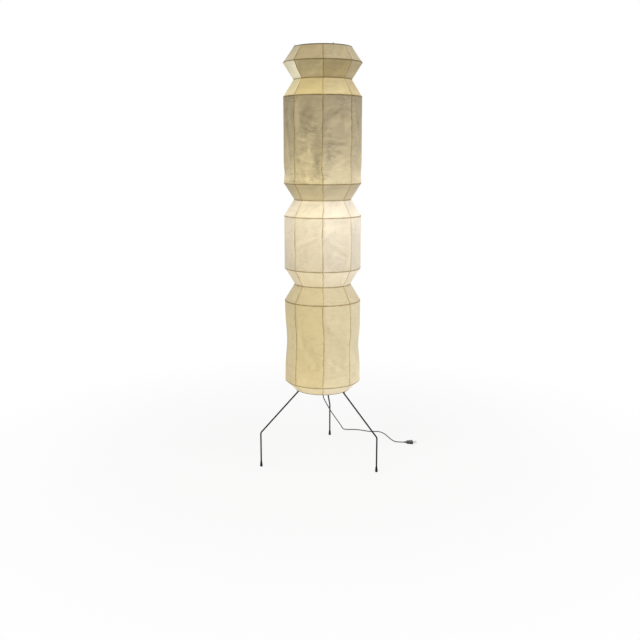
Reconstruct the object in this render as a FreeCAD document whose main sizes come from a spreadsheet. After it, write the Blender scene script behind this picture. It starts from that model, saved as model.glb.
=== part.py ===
# A tall paper lantern on a three-legged stand of bent iron bar. Twelve wire hoops and eight strings
# stretch eleven bands of paper. A wire spider under the top hoop sits loosely on a post that rises
# from the hub, so that the lantern lifts off. Lengths are millimetres and angles are degrees. The
# origin is on the floor under the lantern's axis, and the front of the lamp faces -Y.

import FreeCAD, Part
import math
import os
import re
import Sketcher

Vector = FreeCAD.Vector

doc = FreeCAD.newDocument("paper_lantern_floor_lamp")
sheet = doc.addObject("Spreadsheet::Sheet", "Sizes")
places = doc.addObject("App::VarSet", "Places")

# Every size that can be set by itself: alias, value, what it is.
SIZES = (
    ("hoop_wide", 170.8, "wide hoop, radius to the wire's centre"),
    ("hoop_narrow", 124.8, "narrow hoop, radius to the wire's centre"),
    ("hoop_wire", 3.0, "hoop wire, diameter"),
    ("band_01_tall", 66.0, "crown band, from hoop 1 down to hoop 2"),
    ("band_02_tall", 71.0, "neck band above the upper drum"),
    ("band_03_tall", 73.0, "shoulder band of the upper drum"),
    ("band_04_tall", 376.0, "upper drum"),
    ("band_05_tall", 72.0, "waist band under the upper drum"),
    ("band_06_tall", 73.0, "shoulder band of the middle drum"),
    ("band_07_tall", 238.0, "middle drum"),
    ("band_08_tall", 74.0, "waist band under the middle drum"),
    ("band_09_tall", 76.0, "shoulder band of the lower drum"),
    ("band_10_tall", 381.0, "lower drum"),
    ("band_11_tall", 44.0, "hem band, down to the bottom hoop"),
    ("gores", 8.0, "paper gores round a band, and strings"),
    ("seam_turn", 270.0, "azimuth of the front seam"),
    ("paper_wall", 0.6, "pasted paper, thickness"),
    ("string_thick", 1.0, "string, diameter"),
    ("glue_gap", 0.1, "paste between wire, string and paper"),
    ("spider_turn", 20.0, "azimuth of the first spider arm"),
    ("spider_arm_count", 4.0, "arms of the spider"),
    ("arm_wire", 2.5, "spider arm wire, diameter"),
    ("arm_tip", 6.0, "upturned tip of an arm, above the hoop's centre"),
    ("arm_seat", 6.0, "arm's depth in the boss"),
    ("notch_room", 0.4, "room round an arm's tip in the paper"),
    ("boss_thick", 22.0, "spider boss, diameter"),
    ("boss_above", 5.0, "boss above the arms' centre"),
    ("boss_roof", 3.0, "from the boss's bore to the arms' centre"),
    ("boss_deep", 10.0, "depth of the boss's bore"),
    ("lift_gap", 0.3, "room between the lantern and the stand"),
    ("fit_gap", 0.05, "room round a part that is pressed or screwed in"),
    ("leg_spread", 312.0, "foot circle, radius"),
    ("leg_turn", 82.8, "azimuth of the back leg"),
    ("leg_bar", 7.0, "leg bar, diameter"),
    ("leg_bend_level", 166.0, "level where the leg's two straights meet"),
    ("leg_bend", 12.0, "bend radius of the bar's centre line"),
    ("leg_lean", 43.5, "slope of the leg's upper part"),
    ("leg_reach", 10.0, "how near the axis the leg ends"),
    ("foot_low_thick", 12.0, "rubber foot, diameter near the floor"),
    ("foot_high_thick", 9.0, "rubber foot, diameter at its lip"),
    ("foot_tall", 24.0, "rubber foot, height"),
    ("foot_belly", 8.0, "level above which the foot tapers"),
    ("foot_sole", 4.0, "rubber under the bar"),
    ("foot_round", 1.5, "rounding of the foot's sole"),
    ("saddle_long", 9.0, "saddle, length along the leg"),
    ("saddle_wide", 12.0, "saddle, width across the leg"),
    ("saddle_above", 4.0, "saddle, height above the bar"),
    ("hub_thick", 40.0, "hub, diameter"),
    ("hub_tall", 40.0, "hub, height"),
    ("hub_under", 14.0, "hub below the leg's entry"),
    ("hub_edge", 3.0, "chamfer of the hub's upper edge"),
    ("spigot_tall", 6.0, "hub spigot that the switch cup fits on"),
    ("leg_screw_thick", 4.0, "grub screw, diameter"),
    ("leg_screw_off", 14.0, "grub screw, distance from the axis"),
    ("screw_hex", 2.0, "hex socket of a grub screw, across flats"),
    ("screw_hex_deep", 2.5, "depth of that socket"),
    ("post_thick", 10.0, "post tube, outer diameter"),
    ("post_wall", 1.0, "post tube, wall"),
    ("post_seat", 24.0, "depth of the post in the hub"),
    ("joiner_collar", 4.0, "joiner collar, height"),
    ("joiner_collar_out", 0.8, "joiner collar beyond the tube"),
    ("joiner_spigot", 18.0, "joiner spigot, length"),
    ("cap_tall", 3.0, "post cap above the tube"),
    ("cap_edge", 1.0, "chamfer of the post cap"),
    ("bulb_off", 36.5, "bulb axis from the post's axis"),
    ("bracket_level", 1019.0, "underside of the bracket's plate"),
    ("bracket_plate", 3.0, "bracket plate, thickness"),
    ("bracket_wide", 18.0, "bracket plate, width"),
    ("bracket_collar_thick", 19.0, "bracket collar, diameter"),
    ("bracket_collar_tall", 14.0, "bracket collar, height"),
    ("bracket_screw_thick", 4.0, "clamp screw, diameter"),
    ("bracket_screw_long", 9.0, "clamp screw, length"),
    ("screw_head_thick", 7.0, "clamp screw head, diameter"),
    ("screw_head_tall", 2.5, "clamp screw head, height"),
    ("nipple_thick", 10.0, "hollow nipple, outer diameter"),
    ("nipple_bore", 6.6, "hollow nipple, bore"),
    ("nipple_below", 9.0, "nipple below the plate"),
    ("nipple_above", 7.0, "nipple above the plate"),
    ("nut_flats", 14.0, "nipple nut, across flats"),
    ("nut_tall", 4.0, "nipple nut, height"),
    ("shell_thick", 38.0, "lampholder shell, outer diameter"),
    ("shell_wall", 1.8, "lampholder shell, wall"),
    ("shell_floor", 3.0, "lampholder shell, floor"),
    ("shell_tall", 45.0, "lampholder shell, height"),
    ("insert_tall", 30.0, "ceramic insert, height"),
    ("insert_well", 22.0, "depth of the insert's well"),
    ("sleeve_thick", 27.6, "contact sleeve, outer diameter"),
    ("sleeve_wall", 0.5, "contact sleeve, wall"),
    ("sleeve_tall", 23.0, "contact sleeve, height"),
    ("screw_cap_room", 0.3, "room between the bulb's cap and the sleeve"),
    ("cap_height", 24.0, "bulb cap, height"),
    ("cap_tip", 2.0, "bulb cap's tip contact, height"),
    ("bulb_ball", 30.0, "bulb glass, radius"),
    ("bulb_neck", 13.0, "bulb glass at the cap, radius"),
    ("bulb_rise", 50.0, "ball centre above the cap"),
    ("bulb_shoulder", 22.0, "angle below the ball's equator where the neck starts"),
    ("bulb_wall", 1.0, "bulb glass, thickness"),
    ("lead_thick", 5.0, "flexible lead, diameter"),
    ("lead_off", 10.0, "lead from the post's axis"),
    ("lead_room", 0.4, "room round the lead in the hub"),
    ("lead_drop", 40.0, "straight lead under the nipple"),
    ("lead_sway", 60.0, "height in which the lead comes over to the post"),
    ("lead_in_cup", 2.0, "lead's end below the hub's spigot"),
    ("lead_clip_count", 3.0, "clips that hold the lead to the post"),
    ("clip_first", 48.0, "highest clip below the lead's last bend"),
    ("clip_tall", 8.0, "lead clip, height"),
    ("clip_wall", 1.5, "lead clip, wall"),
    ("clip_web", 5.0, "lead clip, web between its two eyes"),
    ("cup_wall", 1.6, "switch cup, wall and floor"),
    ("cup_tall", 30.0, "switch cup, height"),
    ("cup_screw_thick", 3.0, "cup screw, diameter"),
    ("cup_screw_long", 6.0, "cup screw, length"),
    ("grip_off", 9.0, "cord grip and button from the axis"),
    ("grip_turn", 60.0, "azimuth of the cord grip"),
    ("grip_long", 30.0, "cord grip below the cup"),
    ("grip_root", 10.4, "cord grip at the cup, diameter"),
    ("grip_end", 6.4, "cord grip at its tip, diameter"),
    ("grip_neck", 8.2, "cord grip in the cup's floor, diameter"),
    ("grip_flange", 11.0, "cord grip inside the cup, diameter"),
    ("grip_flange_tall", 2.0, "cord grip inside the cup, height"),
    ("button_thick", 9.0, "push button, diameter"),
    ("button_out", 6.0, "push button below the cup"),
    ("button_flange", 11.6, "button flange, diameter"),
    ("button_flange_tall", 2.2, "button flange, height"),
    ("button_travel", 3.0, "push button, travel"),
    ("slide_gap", 0.3, "room round the button"),
    ("module_wall", 1.2, "switch module, wall"),
    ("module_roof", 9.0, "switch module above its well"),
    ("cord_thick", 5.0, "mains cord, diameter"),
    ("cord_lie", 2.6, "cord's centre above the floor"),
    ("cord_drop", 38.0, "straight cord under the grip"),
    ("cord_plug_run", 40.0, "straight cord before the plug's boot"),
    ("plug_x", 413.0, "plug boot's end, to the right"),
    ("plug_y", 182.6, "plug boot's end, to the back"),
    ("plug_level", 7.0, "plug's axis above the floor"),
    ("boot_long", 14.0, "plug boot, length"),
    ("boot_end", 6.0, "plug boot at the cord, diameter"),
    ("boot_root", 10.0, "plug boot at the body, diameter"),
    ("plug_long", 32.0, "plug body, length"),
    ("plug_tall", 13.6, "plug body, height"),
    ("plug_back_wide", 17.0, "plug body at the boot, width"),
    ("plug_front_wide", 33.0, "plug body at the pins, width"),
    ("plug_edge", 2.5, "rounding of the plug body"),
    ("pin_thick", 4.0, "plug pin, diameter"),
    ("pin_long", 19.0, "plug pin, length"),
    ("pin_span", 19.0, "plug pins, centre to centre"),
    ("pin_point", 0.8, "chamfer of a pin's tip"),
)

for row, (alias, amount, note) in enumerate(SIZES, 1):
    sheet.set(f"A{row}", alias)
    sheet.set(f"B{row}", str(amount))
    sheet.setAlias(f"B{row}", alias)
    sheet.set(f"C{row}", note)
doc.recompute()

size_names = {alias for alias, amount, note in SIZES}
place_names = set()


def bound(text):
    """The expression in text, with each size and place named in full."""

    def full_name(match):
        word = match.group()
        if word in size_names:
            return "Sizes." + word
        return "Places." + word if word in place_names else word

    return re.sub(r"[A-Za-z_][A-Za-z_0-9]*", full_name, text)


def place(name, text):
    """Names a value that follows from the sizes."""
    places.addProperty("App::PropertyFloat", name)
    place_names.add(name)
    places.setExpression(name, bound(text))
    places.recompute()


def value(name):
    """The number behind a size or a place."""
    return float(sheet.get(name)) if name in size_names else float(getattr(places, name))


# Levels and distances that follow from the sizes. The lantern stands on the three legs where they
# pass its bottom hoop, and its bands stack up from there.
HOOPS = ("narrow", "wide", "narrow", "wide", "wide", "narrow", "wide", "wide", "narrow", "wide",
         "wide", "narrow")
BANDS = range(1, len(HOOPS))


def leg_level(reach):
    """The level of the leg's centre line at a distance from the axis."""
    return f"(leg_bend_level + (leg_spread - {reach}) * tan(leg_lean))"


place("saddle_rise", "(leg_bar / 2 + hoop_wire / 2 + lift_gap) / cos(leg_lean)")
place(f"hoop_{len(HOOPS):02d}_level", leg_level("hoop_narrow") + " + saddle_rise")
for number in reversed(BANDS):
    place(f"hoop_{number:02d}_level", f"hoop_{number + 1:02d}_level + band_{number:02d}_tall")
place("string_out", "hoop_wire / 2 + glue_gap + string_thick / 2")
place("paper_out", "hoop_wire / 2 + 2 * glue_gap + string_thick + paper_wall / 2")
place("arm_bend", "hoop_wire / 2 + glue_gap + arm_wire / 2")
place("arm_level", "hoop_01_level - arm_bend")
place("boss_low", "arm_level - boss_roof - boss_deep")
place("cap_top", "arm_level - boss_roof - lift_gap")
place("post_top", "cap_top - cap_tall")
place("hub_low", leg_level("hub_thick / 2") + " - hub_under")
place("hub_top", "hub_low + hub_tall")
place("post_low", "hub_top - post_seat")
place("tube_long", "(post_top - post_low - 2 * joiner_collar) / 3")
place("bulb_turn", "leg_turn - 60")
place("plate_top", "bracket_level + bracket_plate")
place("well_floor", "plate_top + shell_floor + insert_tall - insert_well")
place("glass_low", "well_floor + cap_height")
place("ball_level", "glass_low + bulb_rise")
place("cup_low", "hub_low - cup_tall")
place("cup_inner", "hub_thick / 2 - cup_wall")
place("cup_floor", "cup_low + cup_wall")
place("button_turn", "grip_turn + 180")

AXIS_Y = "vector(0; 1; 0)"
AXIS_Z = "vector(0; 0; 1)"
labelled = []


def spot(across="0", along="0", level="0", turn="0", lean="0"):
    """A placement that is turned about the lamp's axis, moved out, then leaned about its own Y."""
    turned_to = f"placement(vector(0; 0; 0); rotation({AXIS_Z}; {turn}))"
    moved_to = f"placement(vector({across}; {along}; {level}); rotation({AXIS_Y}; {lean}))"
    return bound(f"{turned_to} * {moved_to}")


def node(thing, label):
    """Marks a finished sub-part and gives it its name."""
    thing.Label = label
    labelled.append(thing)
    return thing


def cylinder(name, radius, height, at=None):
    """A round bar or a drill, bound to the sizes."""
    bar = doc.addObject("Part::Cylinder", name)
    bar.setExpression("Radius", bound(radius))
    bar.setExpression("Height", bound(height))
    bar.setExpression("Placement", at or spot())
    return bar


def block(name, long, wide, tall, at):
    """A rectangular block, bound to the sizes."""
    box = doc.addObject("Part::Box", name)
    box.setExpression("Length", bound(long))
    box.setExpression("Width", bound(wide))
    box.setExpression("Height", bound(tall))
    box.setExpression("Placement", at)
    return box


def cut(name, base, tools):
    """The base with each tool taken out of it."""
    for number, tool in enumerate(tools, 1):
        piece = doc.addObject("Part::Cut", f"{name}_cut_{number}")
        piece.Base = base
        piece.Tool = tool
        base = piece
    return base


def joined(name, pieces):
    """Several shapes of one piece made one solid."""
    whole = doc.addObject("Part::MultiFuse", name)
    whole.Shapes = pieces
    return whole


def group(name, pieces):
    """Like pieces that stay separate solids in one node."""
    whole = doc.addObject("Part::Compound", name)
    whole.Links = pieces
    return whole


def origin_plane(body, role):
    """One of the three planes that a body starts with."""
    return next(plane for plane in body.Origin.OriginFeatures if plane.Role == role)


def sketch_on(body, role, name):
    """An empty sketch on one of the body's own planes."""
    sketch = body.newObject("Sketcher::SketchObject", name)
    sketch.AttachmentSupport = (origin_plane(body, role), "")
    sketch.MapMode = "FlatFace"
    return sketch


def hold(sketch, kind, geometry, text):
    """Ties a dimension of the sketch to an expression."""
    row = sketch.addConstraint(Sketcher.Constraint(kind, *geometry, 1.0))
    sketch.setExpression(f"Constraints[{row}]", bound(text))


def outline(body, role, name, corners):
    """A closed outline whose corners are pairs of expressions."""
    sketch = sketch_on(body, role, name)
    count = len(corners)
    loose = [Vector(math.cos(math.tau * i / count), math.sin(math.tau * i / count), 0)
             for i in range(count)]
    for i in range(count):
        sketch.addGeometry(Part.LineSegment(loose[i], loose[(i + 1) % count]))
    for i in range(count):
        sketch.addConstraint(Sketcher.Constraint("Coincident", i, 2, (i + 1) % count, 1))
    for i, (across, up) in enumerate(corners):
        hold(sketch, "DistanceX", (-1, 1, i, 1), across)
        hold(sketch, "DistanceY", (-1, 1, i, 1), up)
    return sketch


def turned(name, corners, at=None):
    """A body turned on a lathe: radius and height of each corner, about its own Z."""
    body = doc.addObject("PartDesign::Body", name)
    sketch = outline(body, "XZ_Plane", name + "_outline", corners)
    turn = body.newObject("PartDesign::Revolution", name + "_turn")
    turn.Profile = sketch
    turn.ReferenceAxis = (sketch, ["V_Axis"])
    turn.Angle = 360
    body.setExpression("Placement", at or spot())
    return body


def padded(name, corners, height, at):
    """A body cut from plate: its outline on XY, and its thickness."""
    body = doc.addObject("PartDesign::Body", name)
    sketch = outline(body, "XY_Plane", name + "_outline", corners)
    pad = body.newObject("PartDesign::Pad", name + "_pad")
    pad.Profile = sketch
    pad.setExpression("Length", bound(height))
    body.setExpression("Placement", at)
    return body


def bent_bar(name, corners, bend_radius, radius, at):
    """A bar with one bend on its own XZ plane. Its first straight is upright or level."""
    body = doc.addObject("PartDesign::Body", name)
    path = sketch_on(body, "XZ_Plane", name + "_path")
    first, corner, last = (Vector(value(across), value(up), 0) for across, up in corners)
    level_start = abs(first.y - corner.y) < abs(first.x - corner.x)
    path.addGeometry(Part.LineSegment(first, corner))
    path.addGeometry(Part.LineSegment(corner, last))
    path.addConstraint(Sketcher.Constraint("Coincident", 0, 2, 1, 1))
    for line, end, (across, up) in ((0, 1, corners[0]), (0, 2, corners[1]), (1, 2, corners[2])):
        hold(path, "DistanceX", (-1, 1, line, end), across)
        hold(path, "DistanceY", (-1, 1, line, end), up)
    doc.recompute()
    path.fillet(0, 1, (first + corner) / 2, (corner + last) / 2, value(bend_radius), True, True)
    hold(path, "Radius", (2,), bend_radius)
    section = sketch_on(body, "YZ_Plane" if level_start else "XY_Plane", name + "_section")
    centre = Vector(0, first.y, 0) if level_start else Vector(first.x, 0, 0)
    lift = first.x if level_start else first.y
    section.AttachmentOffset = FreeCAD.Placement(Vector(0, 0, lift), FreeCAD.Rotation())
    section.addGeometry(Part.Circle(centre, Vector(0, 0, 1), value("leg_bar") / 2))
    hold(section, "Radius", (0,), radius)
    doc.recompute()
    pipe = body.newObject("PartDesign::AdditivePipe", name + "_pipe")
    pipe.Profile = (section, [""])
    pipe.Spine = (path, ["Edge1", "Edge2", "Edge3"])
    body.setExpression("Placement", at)
    return body


def tube_along(name, points, radius):
    """A flexible lead: straight runs joined by tangent arcs as large as the runs allow."""
    share = 0.45
    edges = []
    radii = []
    reached = points[0]
    for before, corner, after in zip(points, points[1:], points[2:]):
        back = (before - corner).normalize()
        onward = (after - corner).normalize()
        half_turn = (math.pi - back.getAngle(onward)) / 2
        trim = share * min((before - corner).Length, (after - corner).Length)
        bend = trim / math.tan(half_turn)
        radii.append(bend)
        inset = bend * (1 / math.cos(half_turn) - 1)
        start = corner + back * trim
        edges.append(Part.LineSegment(reached, start).toShape())
        middle = corner + (back + onward).normalize() * inset
        reached = corner + onward * trim
        edges.append(Part.Arc(start, middle, reached).toShape())
    edges.append(Part.LineSegment(reached, points[-1]).toShape())
    path = Part.Wire(edges)
    section = Part.Wire(Part.Circle(points[0], points[1] - points[0], radius).toShape())
    shape = path.makePipeShell([section], True, False)
    expected = math.pi * radius ** 2 * path.Length
    print(f"{name}: length {path.Length:.1f}, volume over section x length {shape.Volume / expected:.5f}")
    print(f"{name}: arc radii", " ".join(f"{bend:.1f}" for bend in radii))
    feature = doc.addObject("Part::Feature", name)
    feature.Shape = shape
    return feature


# Feet: moulded rubber, pushed onto the bars.
LEGS = (("back", "leg_turn"), ("left", "leg_turn + 120"), ("right", "leg_turn + 240"))
for side, turn in LEGS:
    foot = turned("rubber_foot_" + side, (
        ("0", "0"),
        ("foot_low_thick / 2 - foot_round", "0"),
        ("foot_low_thick / 2", "foot_round"),
        ("foot_low_thick / 2", "foot_belly"),
        ("foot_high_thick / 2", "foot_tall"),
        ("leg_bar / 2", "foot_tall"),
        ("leg_bar / 2", "foot_sole"),
        ("0", "foot_sole"),
    ), spot("leg_spread", turn=turn))
    node(foot, "foot_" + side)

# Legs: iron bar, bent once, with its upper end in the hub.
place("leg_foot_level", "foot_sole")
place("leg_end_level", leg_level("leg_reach"))
for side, turn in LEGS:
    leg = bent_bar("bar_" + side, (
        ("leg_spread", "leg_foot_level"),
        ("leg_spread", "leg_bend_level"),
        ("leg_reach", "leg_end_level"),
    ), "leg_bend", "leg_bar / 2", spot(turn=turn))
    node(leg, "leg_" + side)

# Saddles: small blocks welded on the legs, each with a groove in which the bottom hoop lies.
place("bottom_level", f"hoop_{len(HOOPS):02d}_level")
groove = doc.addObject("Part::Torus", "groove_ring")
groove.setExpression("Radius1", bound("hoop_narrow"))
groove.setExpression("Radius2", bound("hoop_wire / 2 + lift_gap"))
groove.setExpression("Placement", spot(level="bottom_level"))
mouth_outer = cylinder("mouth_outer", "hoop_narrow + hoop_wire / 2 + lift_gap", "saddle_rise * 2",
                       spot(level="bottom_level"))
mouth_inner = cylinder("mouth_inner", "hoop_narrow - hoop_wire / 2 - lift_gap", "saddle_rise * 2",
                       spot(level="bottom_level"))
mouth = cut("mouth", mouth_outer, [mouth_inner])
place("saddle_level", leg_level("hoop_narrow"))
saddles = []
for side, turn in LEGS:
    on_leg = spot("hoop_narrow", level="saddle_level", turn=turn, lean="leg_lean")
    corner = bound("placement(vector(-saddle_rise * sin(leg_lean) - saddle_long / 2;"
                   " -saddle_wide / 2; 0); rotation(vector(0; 0; 1); 0))")
    saddle = block("saddle_" + side, "saddle_long", "saddle_wide", "leg_bar / 2 + saddle_above",
                   f"{on_leg} * {corner}")
    bar_room = cylinder("saddle_bar_" + side, "leg_bar / 2", "saddle_long * 4",
                        spot("hoop_narrow - saddle_long * 2",
                             level="saddle_level + saddle_long * 2 * tan(leg_lean)",
                             turn=turn, lean="leg_lean + 90"))
    saddles.append(cut("saddle_" + side, saddle, [bar_room, groove, mouth]))
node(group("saddle_group", saddles), "leg_saddles")

# Hub: a turned iron boss with a socket for each leg, a bore for the post and one for the lead.
hub_blank = turned("hub_blank", (
    ("0", "hub_low - spigot_tall"),
    ("cup_inner - fit_gap", "hub_low - spigot_tall"),
    ("cup_inner - fit_gap", "hub_low"),
    ("hub_thick / 2", "hub_low"),
    ("hub_thick / 2", "hub_top - hub_edge"),
    ("hub_thick / 2 - hub_edge", "hub_top"),
    ("0", "hub_top"),
))
place("cup_screw_level", "hub_low - spigot_tall / 2")
CUP_SCREW_TURNS = ("bulb_turn + 90", "bulb_turn + 270")
hub_tools = [
    cylinder("post_bore", "post_thick / 2 + fit_gap", "hub_tall", spot(level="post_low")),
    cylinder("lead_bore", "lead_thick / 2 + lead_room", "hub_tall * 2",
             spot("lead_off", level="hub_low - hub_tall / 2", turn="bulb_turn")),
]
for side, turn in LEGS:
    hub_tools.append(cylinder("leg_socket_" + side, "leg_bar / 2 + fit_gap", "hub_thick",
                              spot("leg_reach", level="leg_end_level", turn=turn,
                                   lean="leg_lean + 90")))
    hub_tools.append(cylinder("leg_screw_hole_" + side, "leg_screw_thick / 2 + fit_gap", "hub_tall",
                              spot("leg_screw_off", level=leg_level("leg_screw_off"), turn=turn)))
for number, turn in enumerate(CUP_SCREW_TURNS, 1):
    hub_tools.append(cylinder(f"cup_screw_hole_{number}", "cup_screw_thick / 2 + fit_gap",
                              "cup_screw_long + fit_gap",
                              spot("hub_thick / 2 - cup_screw_long", level="cup_screw_level",
                                   turn=turn, lean="90")))
node(cut("hub_body", hub_blank, hub_tools), "hub")

# Grub screws that hold the legs in the hub.
place("leg_screw_low", leg_level("(leg_screw_off - leg_screw_thick / 2)")
      + " + leg_bar / 2 / cos(leg_lean) + fit_gap")
screws = []
for side, turn in LEGS:
    blank = cylinder("grub_" + side, "leg_screw_thick / 2", "hub_top - leg_screw_low",
                     spot("leg_screw_off", level="leg_screw_low", turn=turn))
    socket = doc.addObject("Part::Prism", "grub_socket_" + side)
    socket.Polygon = 6
    socket.setExpression("Circumradius", bound("screw_hex / 2 / cos(30)"))
    socket.setExpression("Height", bound("screw_hex_deep * 2"))
    socket.setExpression("Placement", spot("leg_screw_off", level="hub_top - screw_hex_deep",
                                           turn=turn))
    screws.append(cut("grub_" + side, blank, [socket]))
node(group("grub_group", screws), "leg_screws")

# Post: three tubes with a joiner between each two, and a cap that carries the spider's boss.
TUBES = ("lower", "middle", "upper")
for number, part_name in enumerate(TUBES):
    low = f"post_low + {number} * (tube_long + joiner_collar)"
    outer = cylinder("tube_outer_" + part_name, "post_thick / 2", "tube_long", spot(level=low))
    inner = cylinder("tube_inner_" + part_name, "post_thick / 2 - post_wall", "tube_long",
                     spot(level=low))
    node(cut("tube_" + part_name, outer, [inner]), part_name + "_post")
for number, part_name in enumerate(TUBES[:-1], 1):
    joiner = turned("joiner_" + part_name, (
        ("0", "-joiner_spigot"),
        ("post_thick / 2 - post_wall - fit_gap", "-joiner_spigot"),
        ("post_thick / 2 - post_wall - fit_gap", "0"),
        ("post_thick / 2 + joiner_collar_out", "0"),
        ("post_thick / 2 + joiner_collar_out", "joiner_collar"),
        ("post_thick / 2 - post_wall - fit_gap", "joiner_collar"),
        ("post_thick / 2 - post_wall - fit_gap", "joiner_collar + joiner_spigot"),
        ("0", "joiner_collar + joiner_spigot"),
    ), spot(level=f"post_low + {number} * tube_long + {number - 1} * joiner_collar"))
    node(joiner, part_name + "_joiner")
cap = turned("cap_body", (
    ("0", "post_top - joiner_spigot"),
    ("post_thick / 2 - post_wall - fit_gap", "post_top - joiner_spigot"),
    ("post_thick / 2 - post_wall - fit_gap", "post_top"),
    ("post_thick / 2", "post_top"),
    ("post_thick / 2", "cap_top - cap_edge"),
    ("post_thick / 2 - cap_edge", "cap_top"),
    ("0", "cap_top"),
))
node(cap, "post_cap")

# Bracket: a collar clamped on the post, with a plate that carries the lampholder beside it.
bracket_turn = spot(turn="bulb_turn")
collar = cylinder("bracket_collar", "bracket_collar_thick / 2", "bracket_collar_tall",
                  spot(level="bracket_level"))
plate = padded("bracket_arm", (
    ("0", "-bracket_wide / 2"),
    ("bulb_off + bracket_wide / 4", "-bracket_wide / 2"),
    ("bulb_off + bracket_wide / 2", "-bracket_wide / 4"),
    ("bulb_off + bracket_wide / 2", "bracket_wide / 4"),
    ("bulb_off + bracket_wide / 4", "bracket_wide / 2"),
    ("0", "bracket_wide / 2"),
), "bracket_plate", spot(level="bracket_level", turn="bulb_turn"))
place("clamp_level", "bracket_level + bracket_plate + (bracket_collar_tall - bracket_plate) / 2")
place("clamp_turn", "bulb_turn + 180")
bracket = cut("bracket", joined("bracket_blank", [collar, plate]), [
    cylinder("bracket_post_hole", "post_thick / 2 + fit_gap", "bracket_collar_tall * 2",
             spot(level="bracket_level - bracket_collar_tall / 2")),
    cylinder("bracket_nipple_hole", "nipple_thick / 2 + fit_gap", "bracket_plate * 3",
             spot("bulb_off", level="bracket_level - bracket_plate", turn="bulb_turn")),
    cylinder("bracket_screw_hole", "bracket_screw_thick / 2 + fit_gap", "bracket_collar_thick",
             spot(level="clamp_level", turn="clamp_turn", lean="90")),
])
node(bracket, "holder_bracket")
clamp_screw = turned("clamp_screw", (
    ("0", "0"),
    ("bracket_screw_thick / 2", "0"),
    ("bracket_screw_thick / 2", "bracket_screw_long"),
    ("screw_head_thick / 2", "bracket_screw_long"),
    ("screw_head_thick / 2", "bracket_screw_long + screw_head_tall"),
    ("0", "bracket_screw_long + screw_head_tall"),
), spot("post_thick / 2 + fit_gap", level="clamp_level", turn="clamp_turn", lean="90"))
node(clamp_screw, "bracket_screw")

# Nipple and nut: the hollow screw that holds the lampholder on the plate and lets the lead in.
nipple = turned("nipple_body", (
    ("nipple_bore / 2", "bracket_level - nipple_below"),
    ("nipple_thick / 2", "bracket_level - nipple_below"),
    ("nipple_thick / 2", "plate_top + nipple_above"),
    ("nipple_bore / 2", "plate_top + nipple_above"),
), spot("bulb_off", turn="bulb_turn"))
node(nipple, "holder_nipple")
nut_blank = doc.addObject("Part::Prism", "nut_blank")
nut_blank.Polygon = 6
nut_blank.setExpression("Circumradius", bound("nut_flats / 2 / cos(30)"))
nut_blank.setExpression("Height", bound("nut_tall"))
nut_blank.setExpression("Placement", spot("bulb_off", level="bracket_level - nut_tall",
                                          turn="bulb_turn"))
nut_bore = cylinder("nut_bore", "nipple_thick / 2 + fit_gap", "nut_tall * 2",
                    spot("bulb_off", level="bracket_level - nut_tall * 1.5", turn="bulb_turn"))
node(cut("nut", nut_blank, [nut_bore]), "nipple_nut")

# Lampholder: a moulded shell, the ceramic insert in it, and the sleeve that takes the bulb's screw.
beside_post = spot("bulb_off", turn="bulb_turn")
shell = turned("shell_body", (
    ("nipple_thick / 2 + fit_gap", "plate_top"),
    ("shell_thick / 2", "plate_top"),
    ("shell_thick / 2", "plate_top + shell_tall"),
    ("shell_thick / 2 - shell_wall", "plate_top + shell_tall"),
    ("shell_thick / 2 - shell_wall", "plate_top + shell_floor"),
    ("nipple_thick / 2 + fit_gap", "plate_top + shell_floor"),
), beside_post)
node(shell, "holder_shell")
insert = turned("insert_body", (
    ("nipple_thick / 2 + fit_gap", "plate_top + shell_floor"),
    ("shell_thick / 2 - shell_wall - fit_gap", "plate_top + shell_floor"),
    ("shell_thick / 2 - shell_wall - fit_gap", "plate_top + shell_floor + insert_tall"),
    ("sleeve_thick / 2 + fit_gap", "plate_top + shell_floor + insert_tall"),
    ("sleeve_thick / 2 + fit_gap", "well_floor"),
    ("0", "well_floor"),
    ("0", "plate_top + nipple_above + fit_gap"),
    ("nipple_thick / 2 + fit_gap", "plate_top + nipple_above + fit_gap"),
), beside_post)
node(insert, "holder_insert")
sleeve = turned("sleeve_body", (
    ("sleeve_thick / 2 - sleeve_wall", "well_floor"),
    ("sleeve_thick / 2", "well_floor"),
    ("sleeve_thick / 2", "well_floor + sleeve_tall"),
    ("sleeve_thick / 2 - sleeve_wall", "well_floor + sleeve_tall"),
), beside_post)
node(sleeve, "contact_sleeve")

# Bulb: a round frosted glass on a screw cap.
place("cap_radius", "sleeve_thick / 2 - sleeve_wall - screw_cap_room")
bulb_cap = turned("bulb_cap_body", (
    ("0", "well_floor"),
    ("cap_radius / 3", "well_floor"),
    ("cap_radius / 2", "well_floor + cap_tip"),
    ("cap_radius", "well_floor + cap_tip * 2"),
    ("cap_radius", "well_floor + cap_height"),
    ("0", "well_floor + cap_height"),
), beside_post)
node(bulb_cap, "bulb_cap")


def glass_form(name, inset):
    """The bulb's ball and neck, drawn in from the outside by an expression."""
    ball = doc.addObject("Part::Sphere", name + "_ball")
    ball.setExpression("Radius", bound(f"bulb_ball - {inset}"))
    ball.setExpression("Placement", spot("bulb_off", level="ball_level", turn="bulb_turn"))
    neck = doc.addObject("Part::Cone", name + "_neck")
    neck.setExpression("Radius1", bound(f"bulb_neck - {inset}"))
    neck.setExpression("Radius2", bound(f"(bulb_ball - {inset}) * cos(bulb_shoulder)"))
    neck.setExpression("Height", bound(f"bulb_rise - (bulb_ball - {inset}) * sin(bulb_shoulder)"))
    neck.setExpression("Placement", spot("bulb_off", level="glass_low", turn="bulb_turn"))
    return joined(name, [ball, neck])


glass = cut("glass_body", glass_form("glass_outside", "0"), [glass_form("glass_inside", "bulb_wall")])
node(glass, "bulb_glass")

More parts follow.
